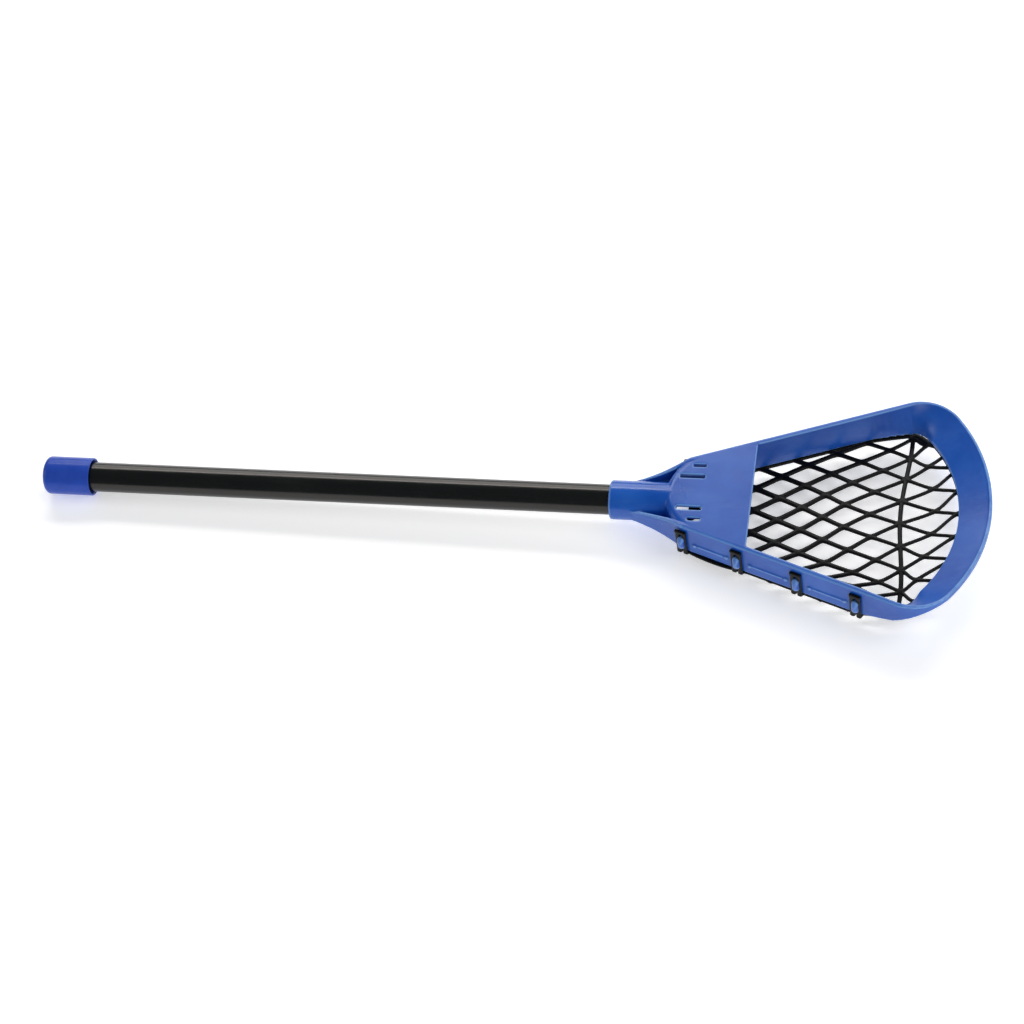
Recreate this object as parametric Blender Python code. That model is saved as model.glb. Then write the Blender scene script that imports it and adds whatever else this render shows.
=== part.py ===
"""A youth lacrosse stick: tube shaft, push-on end cap, one-piece head, moulded net and the head's screw.

Metres. +X runs along the shaft from the butt to the tip of the scoop, +Z out of the open face of the head,
and Y across it. The origin is the centre of the end cap's flat face.
"""

import math

import bmesh
import bpy
import numpy as np

# Shaft and end cap
SHAFT_R = 0.0127
SHAFT_WALL = 0.0016
SHAFT_FROM = 0.0040
SHAFT_TO = 0.5375
CAP_R = 0.01625
CAP_LENGTH = 0.042
CAP_FLOOR = 0.0036
SOCKET_R = 0.0130  # bore of the cap and of the collar, round the tube

# Head
DEPTH = 0.0165  # half the depth of the side walls, front edge to back edge
WALL = 0.0045
COLLAR_R = 0.0164
COLLAR_FROM = 0.4925
COLLAR_TO = 0.546
BORE_END = 0.538
SIDE_POINT = (0.556, 0.0353)  # a point of the side wall's straight outer line
SIDE_ANGLE = math.radians(20.3)
TIP_X = 0.805
CORNER_R = 0.038
TIP_R = 0.145
FIN_STATIONS = (  # x, outer half width, half depth of the fins that run from the collar into the side walls
    (0.500, 0.0128, 0.0052), (0.507, 0.0146, 0.0062), (0.520, 0.0184, 0.0082),
    (0.533, 0.0232, 0.0108), (0.545, 0.0288, 0.0140), (0.556, 0.0353, 0.0165))
SCOOP_TOP = 0.0095  # at the tip: height of the front edge, and of the ramp's inner edge below
SCOOP_INNER = -0.0020
SCOOP_LIP = 0.0022
SCOOP_REACH = 0.0270
SCOOP_SKIRT = 0.0060
SCOOP_THICK = 0.0036
SKIRT_WALL = 0.0040
RISE_FROM, RISE_TO = 0.700, 0.733  # the wall starts to change into the scoop here, and its corner arc starts here
ARC_TRAVEL = 0.133
ARC_SHARE = 0.6  # the change is complete this far from the corner's start to the tip
CHAMFER = 0.0010
PLATE_THICK = 0.0030
PLATE_FRONT = 0.611
ARC_X = 0.583
ARC_R = 0.044
ARC_WALL = 0.0035
WEB_HALF = 0.0015
LONG_SLOT = (0.550, 0.571, 0.016, 0.0036)  # from X, to X, distance from the middle, width
SHORT_SLOT = (0.560, 0.571, 0.0270, 0.0032)
PEG_X = (0.557, 0.604, 0.654, 0.703)
PEG_WIDTH = 0.0052
PEG_LOW, PEG_HIGH = -0.0085, 0.0080
PEG_OUT = 0.0045
PEG_SHIFT = 0.0006  # each loop hangs this far towards the tip of the middle of its peg
RIB_Z = -0.0040
RIB_OUT = 0.0012
RIB_HIGH = 0.0022

# Net
STRAND = 0.0030
CORD_BELOW = 0.0026  # middle of the border cord, below the back edge of the wall
PITCH_X = 0.0208  # along the stick, from one row of knots to the next
PITCH_Y = 0.0225
FIRST_ROW = 0.5675
CROSS_STRAP = 0.7339
SHORTEST = 0.0070  # edges and openings of the net smaller than these are merged away
SMALLEST_OPENING = 0.000022
BORDER_STEP = 0.013
LOOP_HALF = 0.0048
LOOP_OUT = 0.0024
LOOP_TOP = 0.0108

# Screw through the collar and the tube
SCREW_X = 0.512
SCREW_R = 0.0015
SCREW_HEAD_R = 0.0034

SEGMENTS = 48


# ---------------------------------------------------------------- general helpers

def clear_scene():
    for obj in list(bpy.data.objects):
        bpy.data.objects.remove(obj, do_unlink=True)


def material(name, colour, roughness, metallic=0.0):
    made = bpy.data.materials.new(name)
    made.use_nodes = True
    shader = made.node_tree.nodes["Principled BSDF"]
    shader.inputs["Base Color"].default_value = (*colour, 1.0)
    shader.inputs["Roughness"].default_value = roughness
    shader.inputs["Metallic"].default_value = metallic
    return made


def add_object(name, bm, surface=None):
    bmesh.ops.recalc_face_normals(bm, faces=bm.faces)
    mesh = bpy.data.meshes.new(name)
    bm.to_mesh(mesh)
    bm.free()
    obj = bpy.data.objects.new(name, mesh)
    bpy.context.scene.collection.objects.link(obj)
    if surface is not None:
        mesh.materials.append(surface)
    return obj


def combine(target, other, operation):
    """Join the solid other to target, or cut it away, and remove it."""
    modifier = target.modifiers.new(operation, "BOOLEAN")
    modifier.operation = operation
    modifier.solver = "EXACT"
    modifier.object = other
    bpy.context.view_layer.objects.active = target
    bpy.ops.object.modifier_apply(modifier=modifier.name)
    bpy.data.objects.remove(other, do_unlink=True)


def face_outwards(obj):
    bm = bmesh.new()
    bm.from_mesh(obj.data)
    bmesh.ops.recalc_face_normals(bm, faces=bm.faces)
    bm.to_mesh(obj.data)
    bm.free()


def shade_smooth(obj, degrees=35.0):
    for polygon in obj.data.polygons:
        polygon.use_smooth = True
    bm = bmesh.new()
    bm.from_mesh(obj.data)
    for edge in bm.edges:
        edge.smooth = edge.calc_face_angle(0.0) < math.radians(degrees)
    bm.to_mesh(obj.data)
    bm.free()


def lathe(name, profile, surface=None):
    """A closed ring of (x, radius) points turned about the X axis."""
    bm = bmesh.new()
    rings = []
    for step in range(SEGMENTS):
        turn = 2.0 * math.pi * step / SEGMENTS
        rings.append([bm.verts.new((x, r * math.cos(turn), r * math.sin(turn))) for x, r in profile])
    count = len(profile)
    for step in range(SEGMENTS):
        here, following = rings[step], rings[(step + 1) % SEGMENTS]
        for k in range(count):
            after = (k + 1) % count
            bm.faces.new((here[k], here[after], following[after], following[k]))
    bmesh.ops.remove_doubles(bm, verts=bm.verts, dist=1e-6)
    return add_object(name, bm, surface)


def prism(name, outline, low, high):
    """A solid between two heights over a closed plan outline."""
    bm = bmesh.new()
    face = bm.faces.new([bm.verts.new((x, y, low)) for x, y in outline])
    raised = bmesh.ops.extrude_face_region(bm, geom=[face])["geom"]
    top = [item for item in raised if isinstance(item, bmesh.types.BMVert)]
    bmesh.ops.translate(bm, verts=top, vec=(0.0, 0.0, high - low))
    return add_object(name, bm)


def loft(name, sections):
    """A closed solid through rings of equal length, with a face on each end."""
    bm = bmesh.new()
    rings = [[bm.verts.new(point) for point in section] for section in sections]
    count = len(rings[0])
    for here, following in zip(rings, rings[1:]):
        for k in range(count):
            after = (k + 1) % count
            bm.faces.new((here[k], here[after], following[after], following[k]))
    bm.faces.new(rings[0])
    bm.faces.new(rings[-1])
    return add_object(name, bm)


# ---------------------------------------------------------------- the head's outline

def outline_arcs():
    """Centres of the corner arc and the tip arc that join the straight side line."""
    along = np.array((math.cos(SIDE_ANGLE), math.sin(SIDE_ANGLE)))
    inward = np.array((math.sin(SIDE_ANGLE), -math.cos(SIDE_ANGLE)))
    tip = np.array((TIP_X - TIP_R, 0.0))
    start = np.array(SIDE_POINT) + CORNER_R * inward - tip
    half = float(start @ along)
    reach = -half + math.sqrt(half * half - float(start @ start) + (TIP_R - CORNER_R) ** 2)
    return start + tip + reach * along, tip, reach


def side_y(x):
    """Half width of the head's straight outer line at x."""
    return SIDE_POINT[1] + (x - SIDE_POINT[0]) * math.tan(SIDE_ANGLE)


def path_stations():
    """(x, y, normal angle) down the outer line of one half, from the collar to the tip."""
    corner, tip, _ = outline_arcs()
    turn_start = math.pi / 2.0 + SIDE_ANGLE
    turn_change = math.atan2(corner[1] - tip[1], corner[0] - tip[0])
    stations = [(x, y, turn_start) for x, y, _ in FIN_STATIONS]
    last = corner[0] + CORNER_R * math.cos(turn_start)
    for x in np.linspace(FIN_STATIONS[-1][0], last, 8)[1:-1]:
        stations.append((float(x), side_y(float(x)), turn_start))
    for turn in np.linspace(turn_start, turn_change, 15):
        stations.append((corner[0] + CORNER_R * math.cos(turn), corner[1] + CORNER_R * math.sin(turn), turn))
    for turn in np.linspace(turn_change, 0.0, 9)[1:]:
        stations.append((tip[0] + TIP_R * math.cos(turn), tip[1] + TIP_R * math.sin(turn), turn))
    return stations


def towards_scoop(x, progress):
    """0 along the side wall and 1 from the far end of the corner on, starting a little before the corner arc."""
    run_up = RISE_TO - RISE_FROM
    before = max(0.0, min(x, RISE_TO) - RISE_FROM) if progress == 0.0 else run_up
    return min(1.0, (before + ARC_TRAVEL * progress) / (run_up + ARC_TRAVEL * ARC_SHARE))


def section_corners(x, turn):
    """The wall's cross-section as (inward, height) points, where its outward normal points at this angle.

    Along the sides it is an upright slab. Round the scoop the inside slopes to a ramp and the outside becomes
    a short skirt, and the underside between them is open.
    """
    progress = max(0.0, 1.0 - turn / (math.pi / 2.0 + SIDE_ANGLE))
    stations, _, depths = zip(*FIN_STATIONS)
    half = float(np.interp(x, stations, depths))
    top = half - (DEPTH - SCOOP_TOP) * progress ** 1.5
    travel = towards_scoop(x, progress)
    swing = math.sin(travel * math.pi / 2.0) ** 1.2
    rise = travel ** 1.45
    bottom = top - SCOOP_SKIRT - (2.0 * half - SCOOP_SKIRT) * (1.0 - rise) ** 2
    lip = WALL + (SCOOP_LIP - WALL) * swing
    reach = WALL + (SCOOP_REACH - WALL) * swing
    inner = -half + 0.0020 + (SCOOP_INNER + half - 0.0020) * swing
    under = inner - 0.0020 - 0.0014 * swing
    slope = (top - inner) / max(reach - lip, 1e-5)
    ramp_under = top - slope * (SKIRT_WALL - lip) - SCOOP_THICK * math.hypot(1.0, slope)
    c = CHAMFER
    return ((0.0, bottom + c), (0.0, top - c), (c, top), (lip - c * 0.6, top), (lip, top - c * 0.6),
            (reach, inner), (reach, under), (SKIRT_WALL, max(bottom, ramp_under)), (SKIRT_WALL, bottom), (c, bottom))


def mirrored(station):
    x, y, turn = station
    return x, -y, -turn


def full_path():
    """Stations from the collar on the +Y side round the tip to the collar on the -Y side."""
    half = path_stations()
    return half + [mirrored(station) for station in reversed(half[:-1])]


def wall_point(station, inward, height):
    x, y, turn = station
    return x - inward * math.cos(turn), y - inward * math.sin(turn), height


def wall_section(station):
    corners = section_corners(station[0], abs(station[2]))
    return [wall_point(station, inward, height) for inward, height in corners]


# ---------------------------------------------------------------- the head's solids

def arc_outline(radius, far_x, inset):
    """Plan outline bounded by the rear arc, the side walls and a straight front edge."""
    gap = (side_y(ARC_X) - inset) * math.cos(SIDE_ANGLE)
    meet = math.pi / 2.0 + SIDE_ANGLE + math.acos(min(1.0, gap / radius))
    arc = [(ARC_X + radius * math.cos(turn), radius * math.sin(turn))
           for turn in np.linspace(meet, 2.0 * math.pi - meet, 25)]
    end = side_y(far_x) - inset
    return [(far_x, end)] + arc + [(far_x, -end)]


def throat_plate():
    return prism("plate", arc_outline(ARC_R, PLATE_FRONT, WALL * 0.5), DEPTH - PLATE_THICK, DEPTH)


def rear_wall():
    """The curved wall that closes the bowl behind the plate."""
    outer = arc_outline(ARC_R, PLATE_FRONT, WALL * 0.5)[1:-1]
    inner = arc_outline(ARC_R - ARC_WALL, PLATE_FRONT, WALL * 0.5)[1:-1]
    return prism("rear_wall", outer + inner[::-1], -DEPTH, DEPTH - PLATE_THICK * 0.5)


def web():
    """The floor between the collar and the fins, halfway up."""
    side = [(x, y - WALL / 2.0) for x, y, _ in FIN_STATIONS[1:-1]]
    return prism("web", side + [(x, -y) for x, y in reversed(side)], -WEB_HALF, WEB_HALF)


def collar():
    edge = 0.0015
    return lathe("collar", [(COLLAR_FROM, 0.0), (COLLAR_FROM, COLLAR_R - edge),
                            (COLLAR_FROM + edge * 0.3, COLLAR_R - edge * 0.3),
                            (COLLAR_FROM + edge, COLLAR_R), (COLLAR_TO, COLLAR_R), (COLLAR_TO, 0.0)])


def on_wall(name, x, side, half_width, low, high, out):
    """A block with round ends standing on the outside of a side wall."""
    along = np.array((math.cos(SIDE_ANGLE), side * math.sin(SIDE_ANGLE), 0.0))
    outward = np.array((-math.sin(SIDE_ANGLE), side * math.cos(SIDE_ANGLE), 0.0))
    root = np.array((x, side * side_y(x), 0.0))
    radius = min(half_width, (high - low) / 2.0)
    rows = []
    for depth in (-0.0010, out):
        ring = []
        for k in range(16):
            turn = 2.0 * math.pi * (k + 0.5) / 16
            u = radius * math.cos(turn) + math.copysign(half_width - radius, math.cos(turn))
            w = radius * math.sin(turn) + math.copysign((high - low) / 2.0 - radius, math.sin(turn))
            ring.append(root + u * along + depth * outward + np.array((0.0, 0.0, (low + high) / 2.0 + w)))
        rows.append(ring)
    return loft(name, rows)


def pegs_and_ribs():
    parts = []
    for side in (1.0, -1.0):
        for x in PEG_X:
            parts.append(on_wall("peg", x - PEG_SHIFT, side, PEG_WIDTH / 2, PEG_LOW, PEG_HIGH, PEG_OUT))
        for first, second in zip(PEG_X, PEG_X[1:]):
            half = (second - first) / math.cos(SIDE_ANGLE) / 2.0 - 0.009
            parts.append(on_wall("rib", (first + second) / 2.0, side, half,
                                 RIB_Z - RIB_HIGH / 2, RIB_Z + RIB_HIGH / 2, RIB_OUT))
    return parts


def build_head(surface):
    head = loft("head_frame", [wall_section(station) for station in full_path()])
    for part in [throat_plate(), rear_wall(), web(), collar()] + pegs_and_ribs():
        combine(head, part, "UNION")
    bore = lathe("bore", [(COLLAR_FROM - 0.01, 0.0), (COLLAR_FROM - 0.01, SOCKET_R),
                          (BORE_END, SOCKET_R), (BORE_END, 0.0)])
    combine(head, bore, "DIFFERENCE")
    for low, high, away, width in (LONG_SLOT, SHORT_SLOT):
        for side in (1.0, -1.0):
            y = side * away
            slot = prism("slot", [(low, y - width / 2), (high, y - width / 2), (high, y + width / 2),
                                  (low, y + width / 2)], 0.0, DEPTH + 0.01)
            combine(head, slot, "DIFFERENCE")
    combine(head, upright_cylinder("screw_way", 0.0021, -0.03, 0.0), "DIFFERENCE")
    combine(head, upright_cylinder("screw_seat", SCREW_HEAD_R + 0.0005, -0.03, -0.0148), "DIFFERENCE")
    head.data.materials.clear()
    head.data.materials.append(surface)
    shade_smooth(head)
    return head


# ---------------------------------------------------------------- shaft, cap and screw

def upright_cylinder(name, radius, low, high, steps=24):
    outline = [(SCREW_X + radius * math.cos(2 * math.pi * k / steps), radius * math.sin(2 * math.pi * k / steps))
               for k in range(steps)]
    return prism(name, outline, low, high)


def build_shaft(surface):
    inner = SHAFT_R - SHAFT_WALL
    soft = 0.0003
    tube = lathe("shaft_tube", [(SHAFT_FROM, inner), (SHAFT_FROM, SHAFT_R - soft), (SHAFT_FROM + soft, SHAFT_R),
                                (SHAFT_TO - soft, SHAFT_R), (SHAFT_TO, SHAFT_R - soft), (SHAFT_TO, inner)])
    combine(tube, upright_cylinder("screw_hole", 0.0019, -0.03, 0.0), "DIFFERENCE")
    tube.data.materials.clear()
    tube.data.materials.append(surface)
    shade_smooth(tube)
    return tube


def build_cap(surface):
    round_r = 0.0042
    lip_r = 0.0014
    profile = [(0.0, 0.0)]
    for k in range(7):
        turn = math.pi / 2 * k / 6
        profile.append((round_r - round_r * math.cos(turn), CAP_R - round_r + round_r * math.sin(turn)))
    for k in range(5):
        turn = math.pi / 2 * k / 4
        profile.append((CAP_LENGTH - lip_r + lip_r * math.sin(turn), CAP_R - lip_r + lip_r * math.cos(turn)))
    profile += [(CAP_LENGTH, SOCKET_R + 0.0004), (CAP_LENGTH - 0.0004, SOCKET_R), (CAP_FLOOR, SOCKET_R),
                (CAP_FLOOR, 0.0)]
    cap = lathe("end_cap", profile, surface)
    shade_smooth(cap)
    return cap


def build_screw(surface):
    head = upright_cylinder("head_screw", SCREW_HEAD_R, -0.0164, -0.0151)
    combine(head, upright_cylinder("shank", SCREW_R, -0.0155, -0.0065), "UNION")
    for length, width in ((0.0019, 0.0004), (0.0004, 0.0019)):
        cross = prism("cross", [(SCREW_X - length, -width), (SCREW_X + length, -width),
                                (SCREW_X + length, width), (SCREW_X - length, width)], -0.02, -0.0157)
        combine(head, cross, "DIFFERENCE")
    head.data.materials.clear()
    head.data.materials.append(surface)
    shade_smooth(head)
    return head


# ---------------------------------------------------------------- net

def border_point(station):
    """The border cord: under the middle of the side wall, and under the ramp's inner edge round the scoop."""
    corners = section_corners(station[0], abs(station[2]))
    inner_edge = corners[6]
    away = WALL / 2.0 + inner_edge[0] - WALL
    return wall_point(station, away, inner_edge[1] - CORD_BELOW)


def border_stations():
    """Stations of the border on one half: both sides of each peg, then round the scoop to short of the middle."""
    turn = math.pi / 2.0 + SIDE_ANGLE
    step = LOOP_HALF * math.cos(SIDE_ANGLE)
    straight = [(x + shift, side_y(x + shift), turn) for x in PEG_X for shift in (-step, step)]
    around = []
    last = np.array(border_point(straight[-1]))
    for station in path_stations():
        point = np.array(border_point(station))
        if station[0] > PEG_X[-1] and abs(point[1]) > 0.006 and np.linalg.norm(point - last) > BORDER_STEP:
            around.append(station)
            last = point
    return straight + around


def split_by_strands(bm):
    """Cut the flat sheet along both families of strands and the cross strap, so that every mesh opening is a face."""
    slope = PITCH_Y / (2.0 * PITCH_X)
    lines = [((FIRST_ROW, (k + 0.5) * PITCH_Y, 0.0), (slope, sign, 0.0)) for k in range(-14, 14) for sign in (1.0, -1.0)]
    lines.append(((CROSS_STRAP, 0.0, 0.0), (1.0, 0.0, 0.0)))
    for origin, normal in lines:
        bmesh.ops.bisect_plane(bm, geom=bm.verts[:] + bm.edges[:] + bm.faces[:], dist=1e-6,
                               plane_co=origin, plane_no=normal)


def merge_short_edges(bm, kept):
    """Weld what lies too close to a kept corner, or to another point of the border, to leave an opening between."""
    targets = {}
    fixed = list(kept)
    for vert in bm.verts:
        if vert in kept:
            continue
        near = min(fixed, key=lambda other: (other.co - vert.co).length)
        if (near.co - vert.co).length < SHORTEST:
            targets[vert] = near
        elif vert.is_boundary:
            fixed.append(vert)
    bmesh.ops.weld_verts(bm, targetmap=targets)
    while True:
        thin = [face for face in bm.faces if face.calc_area() < SMALLEST_OPENING]
        if not thin:
            return
        inner = [edge for edge in thin[0].edges if len(edge.link_faces) == 2]
        longest = max(inner, key=lambda edge: edge.calc_length())
        bmesh.ops.dissolve_edges(bm, edges=[longest], use_verts=False)


def add_loop(bm, first, second, x):
    """The loop that comes round the back edge and up the outside of the wall, over the peg at x."""
    side = math.copysign(1.0, first.co.y)
    low, high = [], []
    for vert, shift in ((first, -LOOP_HALF), (second, LOOP_HALF)):
        px = x + shift * math.cos(SIDE_ANGLE) - LOOP_OUT * math.sin(SIDE_ANGLE)
        py = side * (side_y(x) + shift * math.sin(SIDE_ANGLE) + LOOP_OUT * math.cos(SIDE_ANGLE))
        low.append(bm.verts.new((px, py, -DEPTH - 0.0020)))
        high.append(bm.verts.new((px, py, LOOP_TOP)))
    bm.faces.new((first, second, low[1], low[0]))
    bm.faces.new((low[0], low[1], high[1], high[0]))


def lift_net(bm, half):
    """Raise the flat net to its curved surface: down on the border, rising towards the scoop in the middle."""
    xs, ys, heights = zip(*(border_point(station) for station in half))
    for vert in bm.verts:
        x, y = vert.co.x, vert.co.y
        border = np.interp(x, xs, heights)
        middle = np.interp(x, (xs[0], 0.620, xs[-1]), (heights[0], -0.0175, heights[-1]))
        reach = min(1.0, abs(y) / np.interp(x, xs, ys))
        vert.co.z = middle + (border - middle) * reach ** 3


def build_net(surface):
    half = border_stations()
    bm = bmesh.new()
    right = [bm.verts.new((*border_point(station)[:2], 0.0)) for station in half]
    left = [bm.verts.new((*border_point(mirrored(station))[:2], 0.0)) for station in half]
    bm.faces.new(right + left[::-1])
    split_by_strands(bm)
    merge_short_edges(bm, set(right + left))
    lift_net(bm, half)
    for k, x in enumerate(PEG_X):
        for side in (right, left):
            add_loop(bm, side[2 * k], side[2 * k + 1], x)
    net = add_object("pocket_net", bm, surface)
    frame = net.modifiers.new("strands", "WIREFRAME")
    frame.thickness = STRAND
    frame.use_even_offset = True
    frame.use_boundary = True
    frame.use_replace = True
    bpy.context.view_layer.objects.active = net
    bpy.ops.object.modifier_apply(modifier=frame.name)
    face_outwards(net)
    return net


# ---------------------------------------------------------------- the whole stick

def main():
    clear_scene()
    blue = material("head_blue", (0.030, 0.095, 0.480), 0.42)
    cap_blue = material("cap_blue", (0.022, 0.050, 0.300), 0.30)
    black = material("shaft_black", (0.012, 0.012, 0.013), 0.32)
    steel = material("screw_steel", (0.60, 0.60, 0.61), 0.30, 1.0)
    net_black = material("net_black", (0.014, 0.014, 0.015), 0.50)
    build_shaft(black)
    build_cap(cap_blue)
    build_head(blue)
    build_screw(steel)
    build_net(net_black)


main()
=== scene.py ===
"""The looks of a youth lacrosse stick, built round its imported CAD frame.

Metres, in the frame's own axes: +X from the butt to the tip of the scoop, +Z out of the head's open face.
"""

import math

import bmesh
import bpy
import numpy as np
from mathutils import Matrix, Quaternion, Vector

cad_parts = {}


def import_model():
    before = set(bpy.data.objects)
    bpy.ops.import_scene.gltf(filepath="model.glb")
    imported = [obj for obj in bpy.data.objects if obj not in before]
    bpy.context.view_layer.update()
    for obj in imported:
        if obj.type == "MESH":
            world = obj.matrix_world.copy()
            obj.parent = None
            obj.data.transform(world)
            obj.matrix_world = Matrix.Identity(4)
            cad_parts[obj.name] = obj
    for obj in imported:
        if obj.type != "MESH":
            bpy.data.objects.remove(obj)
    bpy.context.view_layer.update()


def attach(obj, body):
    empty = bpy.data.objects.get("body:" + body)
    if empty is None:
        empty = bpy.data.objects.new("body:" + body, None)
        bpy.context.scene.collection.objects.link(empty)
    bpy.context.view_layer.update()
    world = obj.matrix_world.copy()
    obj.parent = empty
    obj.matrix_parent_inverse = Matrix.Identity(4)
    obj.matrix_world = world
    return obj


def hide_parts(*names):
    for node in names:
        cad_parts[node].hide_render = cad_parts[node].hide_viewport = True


# Shaft and end cap
SHAFT_R = 0.0127
SHAFT_WALL = 0.0016
SHAFT_FROM = 0.0040
SHAFT_TO = 0.5375
CAP_R = 0.01625
CAP_LENGTH = 0.042
CAP_FLOOR = 0.0036
SOCKET_R = 0.0130  # bore of the cap and of the collar, round the tube
CAP_ROUND = 0.0046  # of the closed end's edge
CAP_LIP = 0.0008

# Head
DEPTH = 0.0165  # half the depth of the side walls, front edge to back edge
WALL = 0.0045
COLLAR_R = 0.0164
COLLAR_ROUND = 0.0020
COLLAR_FROM = 0.4925
COLLAR_TO = 0.546
BORE_END = 0.538
SIDE_POINT = (0.556, 0.0353)  # a point of the side wall's straight outer line
SIDE_ANGLE = math.radians(20.3)
TIP_X = 0.805
CORNER_R = 0.038
TIP_R = 0.145
FIN_STATIONS = (  # x, outer half width, half depth of the fins that run from the collar into the side walls
    (0.500, 0.0128, 0.0052), (0.507, 0.0146, 0.0062), (0.520, 0.0184, 0.0082),
    (0.533, 0.0232, 0.0108), (0.545, 0.0288, 0.0140), (0.556, 0.0353, 0.0165))
SCOOP_TOP = 0.0095  # at the tip: height of the front edge, and of the ramp's inner edge below
SCOOP_INNER = -0.0020
SCOOP_LIP = 0.0028
SCOOP_REACH = 0.0270
SCOOP_SKIRT = 0.0060
SCOOP_THICK = 0.0036
SKIRT_WALL = 0.0040
RISE_FROM, RISE_TO = 0.700, 0.733  # the wall starts to change into the scoop, and its corner arc starts
ARC_TRAVEL = 0.133
ARC_SHARE = 0.6  # the change is complete this far from the corner's start to the tip
CHAMFER = 0.0010
PLATE_THICK = 0.0030
PLATE_FRONT = 0.611
ARC_X = 0.583
ARC_R = 0.044
ARC_WALL = 0.0035
SHOULDER = 0.0062  # radius of the rounding from the rear wall into the plate
WEB_HALF = 0.0015
WEB_FROM, WEB_TO = 0.502, 0.545
LONG_SLOT = (0.550, 0.571, 0.016, 0.0036)  # from X, to X, distance from the middle, width
SHORT_SLOT = (0.560, 0.571, 0.0270, 0.0032)
PEG_X = (0.557, 0.604, 0.654, 0.703)
PEG_SHIFT = 0.0006  # the knobs lie this far towards the throat from PEG_X
KNOB_WIDTH = 0.0062
KNOB_LOW, KNOB_HIGH = -0.0100, 0.0050
KNOB_OUT = 0.0065
KNOB_CROWN = 0.0038
RIB_Z = -0.0040
RIB_OUT = 0.0013
RIB_HIGH = 0.0022
RIB_GAP = 0.009  # from the middle of a peg to the start of the rib beside it
BUMP_HALF = 0.0018

# Screw through the collar and the tube, its heights measured from the shaft's axis
SCREW_X = 0.512
SCREW_R = 0.0015
SCREW_HEAD_R = 0.0034
SCREW_FACE, SCREW_UNDER = -0.0164, -0.0151
SCREW_SHANK_FROM, SCREW_SHANK_TO = -0.0155, -0.0065
SCREW_SEAT = -0.0148  # floor of the recess that the head sits in
CROSS_LONG, CROSS_WIDE, CROSS_FLOOR = 0.0019, 0.0004, -0.0157
HEAD_HOLE_R, TUBE_HOLE_R = 0.0021, 0.0019
OUTSIDE = -0.03  # a height below everything, where cutters start

# Net
CORD_BELOW = 0.0026  # middle of the border cord, below the back edge of the wall
CORD_HALF, CORD_THICK = 0.0019, 0.0016
CORD_GAIN = 0.22  # the border cord is wider where it cuts a corner, by this share of the cut
PITCH_X = 0.0208  # along the stick, from one row of knots to the next
PITCH_Y = 0.0225
FIRST_ROW = 0.5675
CROSS_STRAP = 0.7339
STRAP_HALF = 0.0020
STRAND_X = (0.60, 0.66, 0.72, 0.78)  # the strands get narrower towards the tip: half widths at these places
STRAND_HALF = (0.00260, 0.00220, 0.00165, 0.00140)
STRAND_THICK, STRAND_GAIN = 0.0012, 0.15  # half thickness of a strand, plus this share of its half width
KNOT_GAIN, KNOT_SPREAD = 0.35, 0.11
SHORTEST_STRAND = 8  # strands clipped to this many points or fewer are left out
NET_LOW_X, NET_LOW = 0.620, -0.0175  # height of the net's middle line here, between throat and tip
LOOP_HALF = 0.0028
LOOP_SHIFT = 0.0010  # the loops lie this far towards the throat from PEG_X
LOOP_WIDE = 0.0022
LOOP_BAR = 0.0020
LOOP_THICK = 0.0013
LOOP_TOP = 0.0098
FOOT_HALF, FOOT_THICK = 0.0013, 0.0021
# The middle of the net is drawn towards the throat, and its last row leans towards the tip.
PULL_X, PULL_REACH, PULL = 0.700, 0.036, 0.0068
LEAN_X, LEAN_REACH, LEAN = 0.757, 0.013, 0.0062
ROW_SLIP = 0.0016  # these rows also lie this much nearer the throat as a whole
BOW_MIDDLE, BOW_LENGTH = 0.006, 0.075
DRIFT = 0.085  # the rows lie further across the head by this much of their distance from DRIFT_X
DRIFT_X = 0.650
HOOK, HOOK_X = 0.0070, (0.757, 0.775)  # past the last row the strands turn this far towards the far wall
CROWD_FROM, CROWD_MOST = 0.50, 0.45  # the strands turn along the near wall before they reach it
CROWD, CROWD_X = (0.80, 0.80 / 3.0), (0.700, 0.750)  # less so towards the tip
CORNER_TURN = math.radians(82.0)  # the border cord cuts the scoop's corner most at this angle round it
CORNER_RATE, CORNER_HALF = 1.9, 0.82  # how fast the cut fades from there, and the angle at which it is gone
CORNER_SAG = {1.0: 0.0034, -1.0: 0.0010}  # how far it cuts that corner on each side
HANG_OUT = {1.0: 0.0, -1.0: 0.0026}  # how far it stands out from under the wall between the first two loops

# Finest detail that survives when overlapping solids are melted into one skin
HEAD_VOXEL = 0.00065
NET_VOXEL = 0.00042

# How finely round things are drawn
LATHE_STEPS = 128
CYLINDER_STEPS = 48
CORD_SIDES = 12

# Stage
FLOOR_Z, FLOOR_PITCH = -0.0170, math.radians(1.0)
FLOOR_LIGHT = 0.42  # the floor's own light, the same all over
CAMERA_PLACE = (0.8566, -1.3181, 1.8815)
CAMERA_TARGET = (0.4114, -0.0170, 0.0)
CAMERA_ROLL = math.radians(-12.85)
SENSOR, LENS = 36.0, 98.4375  # millimetres


# ---------------------------------------------------------------- mesh helpers

def object_from(name, bm):
    bmesh.ops.recalc_face_normals(bm, faces=bm.faces)
    mesh = bpy.data.meshes.new(name)
    bm.to_mesh(mesh)
    bm.free()
    made = bpy.data.objects.new(name, mesh)
    bpy.context.scene.collection.objects.link(made)
    return made


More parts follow.
